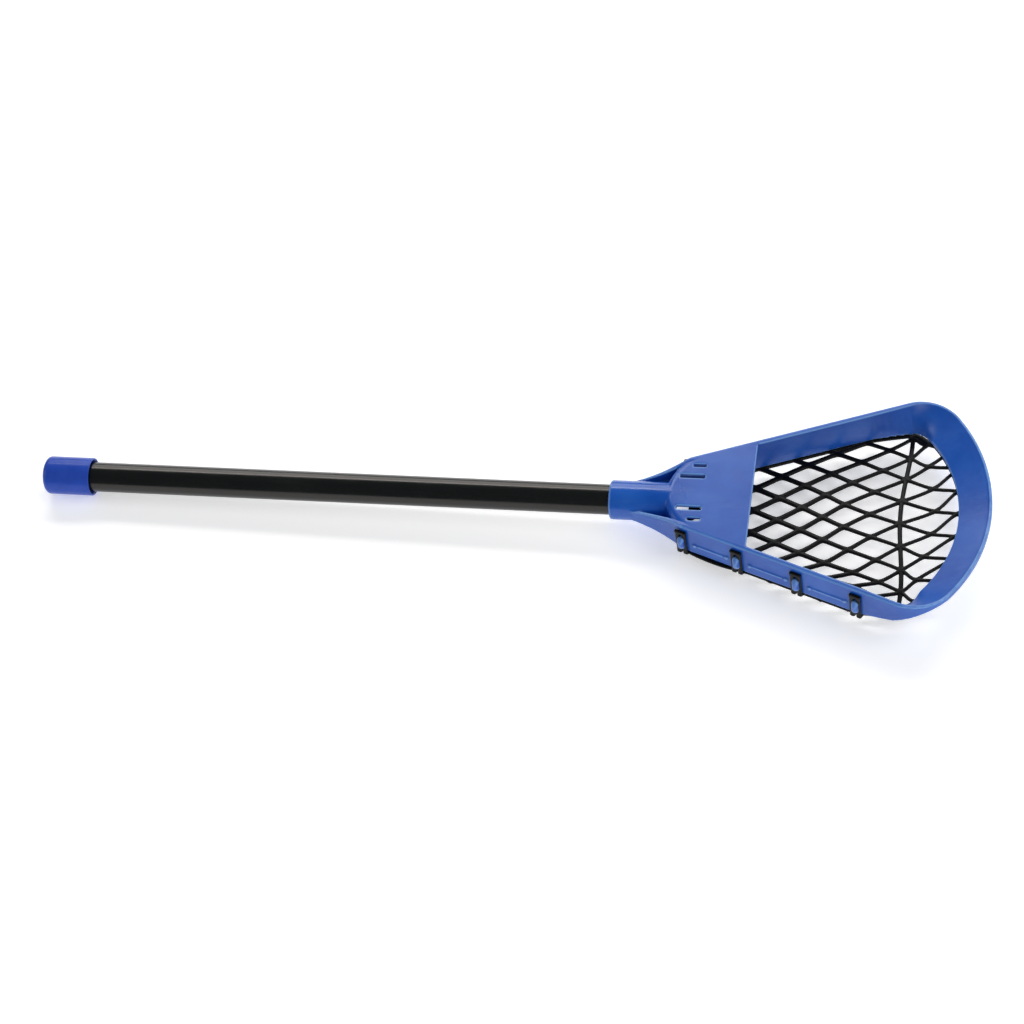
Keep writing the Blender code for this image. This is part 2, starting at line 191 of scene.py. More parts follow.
def lathe(name, profile):
    """A closed ring of (x, radius) points turned about the X axis."""
    bm = bmesh.new()
    rings = []
    for step in range(LATHE_STEPS):
        turn = 2.0 * math.pi * step / LATHE_STEPS
        rings.append([bm.verts.new((x, r * math.cos(turn), r * math.sin(turn))) for x, r in profile])
    count = len(profile)
    for step in range(LATHE_STEPS):
        here, following = rings[step], rings[(step + 1) % LATHE_STEPS]
        for k in range(count):
            after = (k + 1) % count
            bm.faces.new((here[k], here[after], following[after], following[k]))
    bmesh.ops.remove_doubles(bm, verts=bm.verts, dist=1e-7)
    return object_from(name, bm)


def prism(name, outline, low, high):
    """A solid between two heights over a closed plan outline."""
    bm = bmesh.new()
    face = bm.faces.new([bm.verts.new((x, y, low)) for x, y in outline])
    raised = bmesh.ops.extrude_face_region(bm, geom=[face])["geom"]
    top = [item for item in raised if isinstance(item, bmesh.types.BMVert)]
    bmesh.ops.translate(bm, verts=top, vec=(0.0, 0.0, high - low))
    return object_from(name, bm)


def loft(name, sections, closed=False):
    """A solid through rings of equal length: a closed ring of rings, or one with a face on each end."""
    bm = bmesh.new()
    rings = [[bm.verts.new(point) for point in section] for section in sections]
    count = len(rings[0])
    pairs = list(zip(rings, rings[1:]))
    if closed:
        pairs.append((rings[-1], rings[0]))
    for here, following in pairs:
        for k in range(count):
            after = (k + 1) % count
            bm.faces.new((here[k], here[after], following[after], following[k]))
    if not closed:
        bm.faces.new(rings[0])
        bm.faces.new(rings[-1])
    return object_from(name, bm)


def apply_modifier(obj, modifier):
    bpy.context.view_layer.objects.active = obj
    bpy.ops.object.modifier_apply(modifier=modifier.name)


def combine(target, other, operation):
    modifier = target.modifiers.new("combine", "BOOLEAN")
    modifier.operation = operation
    modifier.solver = "EXACT"
    modifier.object = other
    apply_modifier(target, modifier)


def discard(obj):
    bpy.data.objects.remove(obj, do_unlink=True)


def cut_away(target, cutter):
    """Take a solid that isn't needed afterwards out of another."""
    combine(target, cutter, "DIFFERENCE")
    discard(cutter)


def join(name, parts):
    """One object of all the parts' faces; the parts are removed."""
    bm = bmesh.new()
    for part in parts:
        bm.from_mesh(part.data)
        discard(part)
    return object_from(name, bm)


def fuse(obj, voxel, smoothing, keep):
    """Melt overlapping solids into one skin with small fillets, and keep this share of its faces."""
    melt = obj.modifiers.new("melt", "REMESH")
    melt.mode = "VOXEL"
    melt.voxel_size = voxel
    apply_modifier(obj, melt)
    soften = obj.modifiers.new("soften", "SMOOTH")
    soften.factor = 0.5
    soften.iterations = smoothing
    apply_modifier(obj, soften)
    if keep < 1.0:
        thin = obj.modifiers.new("thin", "DECIMATE")
        thin.ratio = keep
        apply_modifier(obj, thin)
    shade_smooth(obj)
    return obj


def shade_smooth(obj, degrees=180.0):
    for polygon in obj.data.polygons:
        polygon.use_smooth = True
    if degrees >= 180.0:
        return
    bm = bmesh.new()
    bm.from_mesh(obj.data)
    for edge in bm.edges:
        edge.smooth = edge.calc_face_angle(0.0) < math.radians(degrees)
    bm.to_mesh(obj.data)
    bm.free()


def smooth_through(points, per_span):
    """Points on a Catmull-Rom curve through the given ones, of any dimension."""
    points = np.array(points, float)
    padded = np.vstack((2 * points[0] - points[1], points, 2 * points[-1] - points[-2]))
    made = []
    for k in range(len(points) - 1):
        a, b, c, d = padded[k:k + 4]
        for step in range(per_span):
            t = step / per_span
            made.append(0.5 * (2 * b + (c - a) * t + (2 * a - 5 * b + 4 * c - d) * t * t
                               + (3 * b - a - 3 * c + d) * t ** 3))
    made.append(points[-1])
    return np.array(made)


# ---------------------------------------------------------------- the head's outline

def outline_arcs():
    """Centres of the corner arc and the tip arc that join the straight side line."""
    along = np.array((math.cos(SIDE_ANGLE), math.sin(SIDE_ANGLE)))
    inward = np.array((math.sin(SIDE_ANGLE), -math.cos(SIDE_ANGLE)))
    tip = np.array((TIP_X - TIP_R, 0.0))
    start = np.array(SIDE_POINT) + CORNER_R * inward - tip
    half = float(start @ along)
    reach = -half + math.sqrt(half * half - float(start @ start) + (TIP_R - CORNER_R) ** 2)
    return start + tip + reach * along, tip


def side_y(x):
    """Half width of the head's straight outer line at x."""
    return SIDE_POINT[1] + (x - SIDE_POINT[0]) * math.tan(SIDE_ANGLE)


def path_stations():
    """(x, y, normal angle, half depth) down the outer line of one half, from the collar to the tip."""
    corner, tip = outline_arcs()
    turn_start = math.pi / 2.0 + SIDE_ANGLE
    turn_change = math.atan2(corner[1] - tip[1], corner[0] - tip[0])
    stations = [(x, y, turn_start, half) for x, y, half in smooth_through(FIN_STATIONS, 6)]
    last = corner[0] + CORNER_R * math.cos(turn_start)
    for x in np.linspace(FIN_STATIONS[-1][0], last, 30)[1:-1]:
        stations.append((float(x), side_y(float(x)), turn_start, DEPTH))
    turns = np.linspace(turn_start, turn_change, 44)
    stations += [(*on_arc(corner, CORNER_R, turn), turn, DEPTH) for turn in turns]
    turns = np.linspace(turn_change, 0.0, 30)[1:]
    stations += [(*on_arc(tip, TIP_R, turn), turn, DEPTH) for turn in turns]
    return stations


def on_arc(centre, radius, turn):
    return centre[0] + radius * math.cos(turn), centre[1] + radius * math.sin(turn)


def towards_scoop(x, progress):
    """0 along the side wall and 1 from the far end of the corner on."""
    run_up = RISE_TO - RISE_FROM
    before = max(0.0, min(x, RISE_TO) - RISE_FROM) if progress == 0.0 else run_up
    return min(1.0, (before + ARC_TRAVEL * progress) / (run_up + ARC_TRAVEL * ARC_SHARE))


def section_corners(x, turn, half):
    """The wall's cross-section as (inward, height) points, where its outward normal points at this angle.

    Along the sides it is an upright slab. Round the scoop the inside slopes to a ramp and the outside becomes
    a short skirt, and the underside between them is open.
    """
    progress = max(0.0, 1.0 - turn / (math.pi / 2.0 + SIDE_ANGLE))
    top = half - (DEPTH - SCOOP_TOP) * progress ** 1.5
    travel = towards_scoop(x, progress)
    swing = math.sin(travel * math.pi / 2.0) ** 1.2
    rise = travel ** 1.45
    bottom = top - SCOOP_SKIRT - (2.0 * half - SCOOP_SKIRT) * (1.0 - rise) ** 2
    lip = (WALL + (SCOOP_LIP - WALL) * swing) * (0.4 + 0.6 * (half / DEPTH) ** 2)
    reach = WALL + (SCOOP_REACH - WALL) * swing
    inner = -half + 0.0020 + (SCOOP_INNER + half - 0.0020) * swing
    under = inner - 0.0020 - 0.0014 * swing
    slope = (top - inner) / max(reach - lip, 1e-5)
    ramp_under = top - slope * (SKIRT_WALL - lip) - SCOOP_THICK * math.hypot(1.0, slope)
    c = CHAMFER
    return ((0.0, bottom + c), (0.0, top - 1.4 * c), (0.35 * c, top - 0.4 * c), (1.3 * c, top),
            (lip - c * 0.6, top), (lip, top - c * 0.6), (reach, inner), (reach, under),
            (SKIRT_WALL, max(bottom, ramp_under)), (SKIRT_WALL, bottom), (c, bottom))


def mirrored(station):
    x, y, turn, half = station
    return x, -y, -turn, half


def full_path():
    """Stations from the collar on the +Y side round the tip to the collar on the -Y side."""
    half = path_stations()
    return half + [mirrored(station) for station in reversed(half[:-1])]


def wall_point(station, inward, height):
    x, y, turn, _ = station
    return x - inward * math.cos(turn), y - inward * math.sin(turn), height


def wall_section(station):
    x, _, turn, half = station
    return [wall_point(station, inward, height) for inward, height in section_corners(x, abs(turn), half)]


# ---------------------------------------------------------------- the head

def arc_outline(radius, far_x, inset):
    """Plan outline bounded by the rear arc, the side walls and a straight front edge."""
    gap = (side_y(ARC_X) - inset) * math.cos(SIDE_ANGLE)
    meet = math.pi / 2.0 + SIDE_ANGLE + math.acos(min(1.0, gap / radius))
    arc = [(ARC_X + radius * math.cos(turn), radius * math.sin(turn))
           for turn in np.linspace(meet, 2.0 * math.pi - meet, 97)]
    end = side_y(far_x) - inset
    return [(far_x, end)] + arc + [(far_x, -end)]


def throat():
    """Plate and rear wall in one, with a rounded shoulder between them and slots through the plate."""
    heights = [(-DEPTH, 0.0), (DEPTH - SHOULDER, 0.0)]
    for k in range(1, 9):
        turn = math.pi / 2.0 * k / 8
        heights.append((DEPTH - SHOULDER + SHOULDER * math.sin(turn), SHOULDER * (1.0 - math.cos(turn))))
    rings = []
    for z, inset in heights:
        rings.append([(x, y, z) for x, y in arc_outline(ARC_R - inset, PLATE_FRONT, WALL * 0.5)])
    shell = loft("throat", rings)
    inside_outline = arc_outline(ARC_R - ARC_WALL, PLATE_FRONT + 0.02, WALL * 0.6)
    cut_away(shell, prism("hollow", inside_outline, OUTSIDE, DEPTH - PLATE_THICK))
    for low, high, away, width in (LONG_SLOT, SHORT_SLOT):
        for side in (1.0, -1.0):
            y = side * away
            slot = rectangle(low, high, y - width / 2, y + width / 2)
            cut_away(shell, prism("slot", slot, 0.0, DEPTH + 0.01))
    return shell


def rectangle(x_low, x_high, y_low, y_high):
    return [(x_low, y_low), (x_high, y_low), (x_high, y_high), (x_low, y_high)]


def web():
    """The floor between the collar and the fins, halfway up."""
    side = [(x, y - WALL / 2) for x, y, _ in smooth_through(FIN_STATIONS, 6) if WEB_FROM <= x <= WEB_TO]
    return prism("web", side + [(x, -y) for x, y in reversed(side)], -WEB_HALF, WEB_HALF)


def collar():
    profile = [(COLLAR_FROM, 0.0)]
    edge = COLLAR_ROUND
    for k in range(9):
        turn = math.pi / 2.0 * k / 8
        profile.append((COLLAR_FROM + edge - edge * math.cos(turn), COLLAR_R - edge + edge * math.sin(turn)))
    return lathe("collar", profile + [(COLLAR_TO, COLLAR_R), (COLLAR_TO, 0.0)])


def on_wall(name, x, side, half_width, low, high, out, crown):
    """A block with round ends standing on the outside of a side wall, its face domed by a given amount."""
    along = np.array((math.cos(SIDE_ANGLE), side * math.sin(SIDE_ANGLE), 0.0))
    outward = np.array((-math.sin(SIDE_ANGLE), side * math.cos(SIDE_ANGLE), 0.0))
    root = np.array((x, side * side_y(x), 0.0))
    radius = min(half_width, (high - low) / 2.0)
    rows = []
    dome = [(out - crown + crown * math.sin(turn), math.cos(turn)) for turn in np.linspace(0.0, 1.35, 8)]
    for depth, size in [(-0.0010, 1.0)] + dome:
        ring = []
        for k in range(32):
            turn = 2.0 * math.pi * (k + 0.5) / 32
            u = radius * math.cos(turn) + math.copysign(half_width - radius, math.cos(turn))
            w = radius * math.sin(turn) + math.copysign((high - low) / 2.0 - radius, math.sin(turn))
            centre = np.array((0.0, 0.0, (low + high) / 2.0))
            ring.append(root + size * u * along + depth * outward + centre + np.array((0.0, 0.0, size * w)))
        rows.append(ring)
    return loft(name, rows)


def pegs_and_ribs():
    parts = []
    for side in (1.0, -1.0):
        for x in PEG_X:
            parts.append(on_wall("knob", x - PEG_SHIFT, side, KNOB_WIDTH / 2,
                                 KNOB_LOW, KNOB_HIGH, KNOB_OUT, KNOB_CROWN))
        for first, second in zip(PEG_X, PEG_X[1:]):
            half = (second - first) / math.cos(SIDE_ANGLE) / 2.0 - RIB_GAP
            middle = (first + second) / 2.0
            low, high = RIB_Z - RIB_HIGH / 2, RIB_Z + RIB_HIGH / 2
            parts.append(on_wall("rib", middle, side, half, low, high, RIB_OUT, 0.0006))
            for end in (-1.0, 1.0):
                place = middle + end * (half - 0.0016) * math.cos(SIDE_ANGLE)
                parts.append(on_wall("bump", place, side, BUMP_HALF,
                                     low - 0.0003, high + 0.0006, RIB_OUT + 0.0008, 0.0010))
    return parts


def upright_cylinder(name, radius, low, high):
    """A cylinder on the screw's own axis."""
    outline = []
    for k in range(CYLINDER_STEPS):
        turn = 2 * math.pi * k / CYLINDER_STEPS
        outline.append((SCREW_X + radius * math.cos(turn), radius * math.sin(turn)))
    return prism(name, outline, low, high)


def build_head():
    wall = loft("wall", [wall_section(station) for station in full_path()])
    round_bore = lathe("bore", [(COLLAR_FROM - 0.01, 0.0), (COLLAR_FROM - 0.01, SOCKET_R),
                                (BORE_END, SOCKET_R), (BORE_END, 0.0)])
    sleeve, floor = collar(), web()
    for part in (wall, sleeve, floor):
        combine(part, round_bore, "DIFFERENCE")
    discard(round_bore)
    cut_away(sleeve, upright_cylinder("seat", SCREW_HEAD_R + 0.0005, OUTSIDE, SCREW_SEAT))
    cut_away(sleeve, upright_cylinder("way", HEAD_HOLE_R, OUTSIDE, 0.0))
    head = join("head", [wall, sleeve, floor, throat()] + pegs_and_ribs())
    return fuse(head, HEAD_VOXEL, 4, 1.0)


# ---------------------------------------------------------------- the net

def corner_window(turn):
    """One at the middle of the scoop's corner, falling to nothing before the side wall and the tip."""
    away = abs(turn - CORNER_TURN)
    return math.cos(away * CORNER_RATE) ** 2 if away < CORNER_HALF else 0.0


def border_point(station, side):
    """The border cord: under the middle of the side wall, and under the ramp's inner edge round the scoop."""
    x, _, turn, half = station
    inner_edge = section_corners(x, abs(turn), half)[7]
    away = inner_edge[0] - WALL / 2.0 + CORNER_SAG[side] * corner_window(turn)
    if PEG_X[0] < x < PEG_X[1]:
        away -= HANG_OUT[side] * math.sin(math.pi * (x - PEG_X[0]) / (PEG_X[1] - PEG_X[0])) ** 0.6
    return wall_point(station, away, inner_edge[1] - CORD_BELOW)


def border_half(side):
    """Points of the border cord from the throat round to the tip, on one side, and its half width at each."""
    first = PEG_X[0] - LOOP_HALF * math.cos(SIDE_ANGLE)
    stations = [station for station in path_stations() if station[0] >= first]
    points = np.array([border_point(station, side) for station in stations]) * np.array((1.0, side, 1.0))
    widths = [CORD_HALF + CORD_GAIN * CORNER_SAG[side] * corner_window(turn) for _, _, turn, _ in stations]
    return points, widths


def swell(x, middle, reach):
    """One at the middle, falling away smoothly to both sides."""
    return math.exp(-((x - middle) / reach) ** 2)


def drift(x, y):
    """Where the net's knot of the even lattice really lies, pulled out of true."""
    moved = y + DRIFT * (x - DRIFT_X)
    pulled, leaning = swell(x, PULL_X, PULL_REACH), swell(x, LEAN_X, LEAN_REACH)
    bow = (PULL * pulled - LEAN * leaning) * math.cos(math.pi * (moved - BOW_MIDDLE) / BOW_LENGTH)
    edge = side_y(x) - WALL / 2.0
    crowded = max(0.0, -moved / edge - CROWD_FROM) if moved < 0.0 else 0.0
    crowding = edge * np.interp(x, CROWD_X, CROWD) * min(crowded, CROWD_MOST) ** 2
    hook = np.interp(x, HOOK_X, (0.0, HOOK))
    return x - bow - ROW_SLIP * max(pulled, leaning), moved + hook + crowding


def net_height(x, y, halves):
    """Height of the net: down on the border cord, rising towards the scoop in the middle."""
    half = halves[1.0 if y > 0.0 else -1.0]
    xs, ys, heights = half[:, 0], np.abs(half[:, 1]), half[:, 2]
    border = np.interp(x, xs, heights)
    middle = np.interp(x, (xs[0], NET_LOW_X, xs[-1]), (heights[0], NET_LOW, heights[-1]))
    reach = min(1.0, abs(y) / max(np.interp(x, xs, ys), 1e-4))
    return middle + (border - middle) * reach ** 3


def inside(x, y, halves):
    """Whether a point of the plan lies within the border cord."""
    half = halves[1.0 if y > 0.0 else -1.0]
    return half[0, 0] < x < half[-1, 0] and abs(y) < np.interp(x, half[:, 0], np.abs(half[:, 1]))


def clip_to_border(line, halves):
    """The part of a strand between its first and last crossing of the border cord."""
    flags = [inside(point[0], point[1], halves) for point in line]
    if not any(flags):
        return []
    first, last = flags.index(True), len(flags) - 1 - flags[::-1].index(True)
    return line[max(0, first - 1):min(len(line), last + 2)]


def strand_lines(halves):
    """Plan lines of both families of strands, as (x, y, row), and of the cross strap."""
    lines = []
    for sign in (1.0, -1.0):
        for k in range(-14, 14):
            knots = []
            for m in np.arange(-2.0, 13.0):
                x = FIRST_ROW + m * PITCH_X
                y = sign * ((k + 0.5) * PITCH_Y - m * PITCH_Y / 2.0)
                knots.append((*drift(x, y), m))
            lines.append(("strand", clip_to_border(smooth_through(knots, 14), halves)))
    strap = [(*drift(CROSS_STRAP, y), 0.5) for y in np.linspace(-0.12, 0.12, 33)]
    lines.append(("strap", clip_to_border(smooth_through(strap, 6), halves)))
    return [(kind, line) for kind, line in lines if len(line) > SHORTEST_STRAND]


def sweep(name, points, widths, thick, closed=False, level=None):
    """A cord along 3-D points: half width to the side, half thickness upright or along a given direction."""
    points = np.array(points, float)
    if closed:
        ahead, behind = np.roll(points, -1, axis=0), np.roll(points, 1, axis=0)
    else:
        ahead = np.vstack((points[1:], 2 * points[-1] - points[-2]))
        behind = np.vstack((2 * points[0] - points[1], points[:-1]))
    along = ahead - behind
    along /= np.linalg.norm(along, axis=1)[:, None]
    thickness_way = np.array((0.0, 0.0, 1.0) if level is None else level)
    sections = []
    for point, direction, wide, high in zip(points, along, widths, thick):
        side = np.cross(direction, thickness_way)
        side /= np.linalg.norm(side)
        up = np.cross(side, direction)
        turns = [2.0 * math.pi * k / CORD_SIDES for k in range(CORD_SIDES)]
        sections.append([point + wide * squared(math.cos(turn)) * side + high * squared(math.sin(turn)) * up
                         for turn in turns])
    return loft(name, sections, closed)


def squared(value):
    """Pushes a circle's sine or cosine out towards a rounded square."""
    return math.copysign(abs(value) ** 0.75, value)


def strand_radius(x):
    return float(np.interp(x, STRAND_X, STRAND_HALF))


def knot_swell(row):
    """How much wider a strand is where it meets its neighbours, at every whole row."""
    return 1.0 + KNOT_GAIN * swell(row, round(row), KNOT_SPREAD)


def loop(x, side):
    """The flat loop round one knob: up the outside of the wall from the border cord, over and down again."""
    along = np.array((math.cos(SIDE_ANGLE), side * math.sin(SIDE_ANGLE), 0.0))
    outward = np.array((-math.sin(SIDE_ANGLE), side * math.cos(SIDE_ANGLE), 0.0))
    root = np.array((x - LOOP_SHIFT, side * side_y(x - LOOP_SHIFT), 0.0))
    low = -DEPTH - CORD_BELOW
    out = LOOP_THICK + 0.0002

    def at(u, away, z):
        return root + u * along + away * outward + np.array((0.0, 0.0, z))

    reach = LOOP_HALF + LOOP_WIDE
    bar = [at(u, out, LOOP_TOP) for u in np.linspace(-reach, reach, 5)]
    pieces = [sweep("bar", bar, [LOOP_BAR] * 5, [LOOP_THICK] * 5, level=outward)]
    for u in (-LOOP_HALF, LOOP_HALF):
        leg = [at(u, out, z) for z in np.linspace(low + 0.0022, LOOP_TOP + LOOP_BAR * 0.6, 7)]
        pieces.append(sweep("leg", leg, [LOOP_WIDE] * 7, [LOOP_THICK] * 7, level=outward))
        foot = smooth_through([at(u, out, low + 0.0045), at(u, out + 0.0002, low + 0.0018), at(u, 0.0, low),
                               at(u, -WALL / 2.0, low)], 5)
        pieces.append(sweep("foot", foot, [FOOT_HALF] * len(foot), [FOOT_THICK] * len(foot), level=along))
    return pieces


def build_net():
    (far, far_widths), (near, near_widths) = border_half(1.0), border_half(-1.0)
    halves = {1.0: far, -1.0: near}
    border = np.vstack((near, far[::-1][1:]))
    border_widths = near_widths + far_widths[::-1][1:]
    parts = [sweep("border", border, border_widths, [CORD_THICK] * len(border), closed=True)]
    for kind, line in strand_lines(halves):
        points = [(x, y, net_height(x, y, halves)) for x, y, _ in line]
        if kind == "strap":
            size = [STRAP_HALF] * len(points)
        else:
            size = [strand_radius(x) * knot_swell(row) for x, _, row in line]
        parts.append(sweep(kind, points, size, [STRAND_THICK + STRAND_GAIN * half for half in size]))
    for x in PEG_X:
        for side in (1.0, -1.0):
            parts.extend(loop(x, side))
    net = join("net", parts)
    return fuse(net, NET_VOXEL, 3, 0.5)


# ---------------------------------------------------------------- shaft, cap and screw

def build_shaft():
    inner = SHAFT_R - SHAFT_WALL
    soft = 0.0003
    tube = lathe("shaft", [(SHAFT_FROM, inner), (SHAFT_FROM, SHAFT_R - soft), (SHAFT_FROM + soft, SHAFT_R),
                           (SHAFT_TO - soft, SHAFT_R), (SHAFT_TO, SHAFT_R - soft), (SHAFT_TO, inner)])
    cut_away(tube, upright_cylinder("hole", TUBE_HOLE_R, OUTSIDE, 0.0))
    shade_smooth(tube, 35.0)
    return tube


def arc_points(centre_x, centre_r, radius, start, end, steps):
    turns = np.linspace(start, end, steps)
    return [(centre_x + radius * math.cos(turn), centre_r + radius * math.sin(turn)) for turn in turns]


def build_cap():
    """A cup with a rounded closed end, and a mouth that widens towards its lip."""
    profile = [(0.0, 0.0), (0.0, 0.006)]
    profile += arc_points(CAP_ROUND, CAP_R - CAP_ROUND, CAP_ROUND, math.pi, math.pi / 2, 17)
    profile += arc_points(CAP_LENGTH - CAP_LIP, CAP_R - CAP_LIP, CAP_LIP, math.pi / 2, 0.0, 9)
    profile += [(CAP_LENGTH, CAP_R - 0.0012), (CAP_LENGTH - 0.0005, CAP_R - 0.0017),
                (CAP_LENGTH - 0.0040, SOCKET_R), (CAP_FLOOR, SOCKET_R), (CAP_FLOOR, 0.0)]
    cap = lathe("cap", profile)
    shade_smooth(cap, 35.0)
    return cap


def build_screw():
    head = upright_cylinder("screw", SCREW_HEAD_R, SCREW_FACE, SCREW_UNDER)
    for length, width in ((CROSS_LONG, CROSS_WIDE), (CROSS_WIDE, CROSS_LONG)):
        slit = rectangle(SCREW_X - length, SCREW_X + length, -width, width)
        cut_away(head, prism("cross", slit, OUTSIDE, CROSS_FLOOR))
    shank = upright_cylinder("shank", SCREW_R, SCREW_SHANK_FROM, SCREW_SHANK_TO)
    combine(head, shank, "UNION")
    discard(shank)
    soft = head.modifiers.new("soft", "BEVEL")
    soft.width = 0.00018
    soft.segments = 2
    soft.limit_method = "ANGLE"
    apply_modifier(head, soft)
    shade_smooth(head, 35.0)
    return head


# ---------------------------------------------------------------- materials

class Surface:
    """A Principled material with a few helpers that add its procedural nodes."""

    def __init__(self, name, colour, roughness, metallic=0.0):
        self.material = bpy.data.materials.new(name)
        self.material.use_nodes = True
        self.tree = self.material.node_tree
        self.shader = self.tree.nodes["Principled BSDF"]
        self.shader.inputs["Base Color"].default_value = (*colour, 1.0)
        self.shader.inputs["Roughness"].default_value = roughness
        self.shader.inputs["Metallic"].default_value = metallic
        self.position = self.node("ShaderNodeTexCoord").outputs["Object"]

    def node(self, kind, **values):
        made = self.tree.nodes.new(kind)
        for key, value in values.items():
            setattr(made, key, value)
        return made

    def link(self, source, target):
        self.tree.links.new(source, target)

    def stretched(self, scale):
        """The position scaled separately along each axis."""
        made = self.node("ShaderNodeMapping")
        made.inputs["Scale"].default_value = scale
        self.link(self.position, made.inputs["Vector"])
        return made.outputs["Vector"]

    def noise(self, scale, detail=3.0, rough=0.5, stretch=None):
        made = self.node("ShaderNodeTexNoise")
        made.inputs["Scale"].default_value = scale
        made.inputs["Detail"].default_value = detail
        made.inputs["Roughness"].default_value = rough
        self.link(self.stretched(stretch) if stretch else self.position, made.inputs["Vector"])
        return made.outputs["Fac"]

    def ramp(self, value, low, high, out_low=0.0, out_high=1.0):
        made = self.node("ShaderNodeMapRange")
        made.clamp = True
        for name, number in zip(("From Min", "From Max", "To Min", "To Max"), (low, high, out_low, out_high)):
            made.inputs[name].default_value = number
        self.link(value, made.inputs["Value"])
        return made.outputs["Result"]

    def combined(self, operation, first, second):
        made = self.node("ShaderNodeMath", operation=operation)
        self.link(first, made.inputs[0])
        if isinstance(second, float):
            made.inputs[1].default_value = second
        else:
            self.link(second, made.inputs[1])
        return made.outputs["Value"]

    def blended(self, factor, first, second):
        """A colour between two, each a triple or another node's colour."""
        made = self.node("ShaderNodeMix", data_type="RGBA")
        self.link(factor, made.inputs["Factor"])
        for side, colour in (("A", first), ("B", second)):
            target = next(item for item in made.inputs if item.name == side and item.type == "RGBA")
            if isinstance(colour, tuple):
                target.default_value = (*colour, 1.0)
            else:
                self.link(colour, target)
        return next(item for item in made.outputs if item.type == "RGBA")

    def bump(self, height, distance, strength=1.0, after=None):
        made = self.node("ShaderNodeBump")
        made.inputs["Distance"].default_value = distance
        made.inputs["Strength"].default_value = strength
        self.link(height, made.inputs["Height"])
        if after is not None:
            self.link(after, made.inputs["Normal"])
        return made.outputs["Normal"]

    def finish(self, colour=None, roughness=None, normal=None):
        for value, socket in ((colour, "Base Color"), (roughness, "Roughness"), (normal, "Normal")):
            if value is not None:
                self.link(value, self.shader.inputs[socket])
        return self.material


def head_plastic():
    """Semi-gloss moulded plastic, glossier on the collar than on the plate and walls, with a painted
    highlight on its convex edges.
    """
    s = Surface("head_blue", (0.010, 0.082, 0.410), 0.34)
    cloudy = s.ramp(s.noise(26.0, 3.0), 0.35, 0.68)
    colour = s.blended(cloudy, (0.005, 0.077, 0.420), (0.013, 0.108, 0.500))
    worn = s.ramp(s.noise(60.0, 6.0, 0.7, (0.35, 1.0, 1.0)), 0.50, 0.78, 0.0, 0.6)
    colour = s.blended(worn, colour, (0.036, 0.140, 0.520))
    # painted highlight: convex edges are mixed towards a pale blue, standing in for the light that their
    # rounding catches
    painted_edge_highlight = s.ramp(s.node("ShaderNodeNewGeometry").outputs["Pointiness"], 0.509, 0.534, 0.0, 0.85)
    colour = s.blended(painted_edge_highlight, colour, (0.190, 0.400, 0.780))
    along = s.node("ShaderNodeSeparateXYZ")
    s.link(s.position, along.inputs["Vector"])
    base = s.ramp(along.outputs["X"], 0.540, 0.560, 0.19, 0.33)
    patches = s.ramp(s.noise(42.0, 4.0, 0.6, (1.0, 0.5, 1.0)), 0.35, 0.70, -0.05, 0.09)
    roughness = s.combined("ADD", base, patches)
    peel = s.bump(s.noise(900.0, 2.0), 0.00010, 0.20)
    normal = s.bump(s.noise(55.0, 2.0), 0.0008, 0.20, peel)
    return s.finish(colour, roughness, normal)


def cap_vinyl():
    """Soft vinyl, a little wavy, with faint scuffs."""
    s = Surface("cap_blue", (0.008, 0.032, 0.320), 0.32)
    s.shader.inputs["Specular IOR Level"].default_value = 0.20
    colour = s.blended(s.ramp(s.noise(45.0, 3.0), 0.3, 0.7), (0.018, 0.062, 0.410), (0.028, 0.086, 0.500))
    scuff = s.ramp(s.noise(220.0, 5.0, 0.7), 0.60, 0.78, 0.0, 0.4)
    colour = s.blended(scuff, colour, (0.035, 0.085, 0.480))
    roughness = s.ramp(s.noise(120.0, 4.0), 0.3, 0.7, 0.17, 0.27)
    dip = s.bump(s.noise(90.0, 2.0), 0.0006, 0.22)
    normal = s.bump(s.noise(1200.0, 2.0), 0.00004, 0.15, dip)
    return s.finish(colour, roughness, normal)


def shaft_coating():
    """Glossy black coating with a grain along the drawn tube and a few dull rubs."""
    s = Surface("shaft_black", (0.010, 0.010, 0.010), 0.30)
    s.shader.inputs["Specular Tint"].default_value = (1.0, 0.93, 0.88, 1.0)
    grain = s.noise(320.0, 4.0, 0.6, (0.05, 1.0, 1.0))
    colour = s.blended(s.ramp(grain, 0.3, 0.7), (0.0030, 0.0050, 0.0055), (0.0060, 0.0080, 0.0082))
    rub = s.ramp(s.noise(18.0, 6.0, 0.75, (0.4, 1.0, 1.0)), 0.62, 0.78, 0.0, 0.35)
    colour = s.blended(rub, colour, (0.018, 0.017, 0.016))
    roughness = s.ramp(s.noise(55.0, 5.0, 0.65), 0.3, 0.7, 0.16, 0.25)
    drawn = s.bump(grain, 0.00003, 0.20)
    normal = s.bump(s.noise(2400.0, 2.0), 0.00003, 0.25, drawn)
    return s.finish(colour, roughness, normal)


def net_plastic():
    """Dull black plastic, slightly lumpy."""
    s = Surface("net_black", (0.005, 0.005, 0.005), 0.42)
    s.shader.inputs["Specular IOR Level"].default_value = 0.17
    cloudy = s.ramp(s.noise(140.0, 4.0, 0.6), 0.35, 0.7)
    colour = s.blended(cloudy, (0.0012, 0.0012, 0.0012), (0.0040, 0.0036, 0.0033))
    roughness = s.ramp(s.noise(400.0, 4.0), 0.3, 0.7, 0.32, 0.50)
    lumps = s.bump(s.noise(330.0, 3.0), 0.0004, 0.35)
    normal = s.bump(s.noise(1800.0, 2.0), 0.00008, 0.30, lumps)
    return s.finish(colour, roughness, normal)


